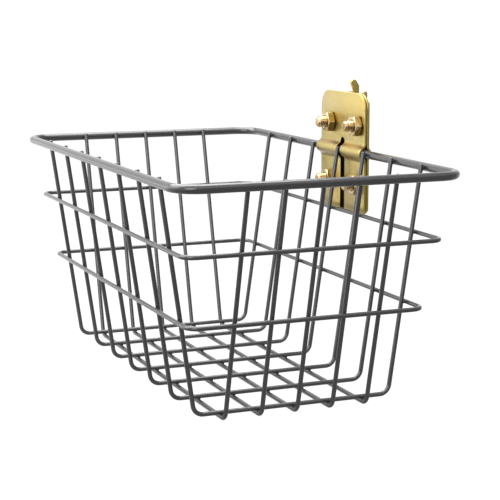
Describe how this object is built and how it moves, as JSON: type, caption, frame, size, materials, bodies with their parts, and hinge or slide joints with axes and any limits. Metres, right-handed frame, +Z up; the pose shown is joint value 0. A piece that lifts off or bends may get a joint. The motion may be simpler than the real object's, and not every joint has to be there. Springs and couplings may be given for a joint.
{
  "type": "e-track wire basket",
  "caption": "Tapered open-top welded wire basket, its rim clamped between two plated steel plates, with a hook and sprung latch fitting for one slot of a slotted wall track.",
  "frame": {"origin": "middle of the gripped track slot, on the track's front face", "axes": "+Y into the wall through the slot, +X along the track and the basket's length, +Z up"},
  "size_m": [0.254, 0.1536, 0.1485],
  "materials": {
    "coated_wire": "dark charcoal coating, satin, on welded steel wire",
    "gold_zinc": "pressed steel, yellow zinc plated",
    "bolt_zinc": "steel fasteners, darker yellow zinc plating",
    "spring_steel": "bright spring wire"
  },
  "bodies": {
    "basket": {"rim": "coated_wire", "upper_hoop": "coated_wire", "lower_hoop": "coated_wire", "cross_wire_1": "coated_wire", "cross_wire_2": "coated_wire", "cross_wire_3": "coated_wire", "cross_wire_4": "coated_wire", "cross_wire_5": "coated_wire", "cross_wire_6": "coated_wire", "cross_wire_7": "coated_wire", "long_wire_1": "coated_wire", "long_wire_2": "coated_wire", "long_wire_3": "coated_wire", "long_wire_4": "coated_wire", "long_wire_5": "coated_wire", "clamp_plate": "gold_zinc", "back_plate": "gold_zinc", "standoff_channel": "gold_zinc", "hook_body": "gold_zinc", "bolt_upper_left": "bolt_zinc", "bolt_upper_right": "bolt_zinc", "bolt_lower_left": "bolt_zinc", "bolt_lower_right": "bolt_zinc", "nut_upper_left": "bolt_zinc", "nut_upper_right": "bolt_zinc", "nut_lower_left": "bolt_zinc", "nut_lower_right": "bolt_zinc", "guide_pin_upper": "bolt_zinc", "guide_pin_lower": "bolt_zinc", "latch_spring": "spring_steel"},
    "latch": {"latch": "gold_zinc"}
  },
  "joints": [
    {"name": "latch_slide", "type": "slide", "parent": "basket", "child": "latch", "axis": [0, 0, -1], "range_m": [0, 0.0026], "stiffness_N_per_m": 800, "springref_m": -0.004, "deforming": ["latch_spring"]}
  ]
}
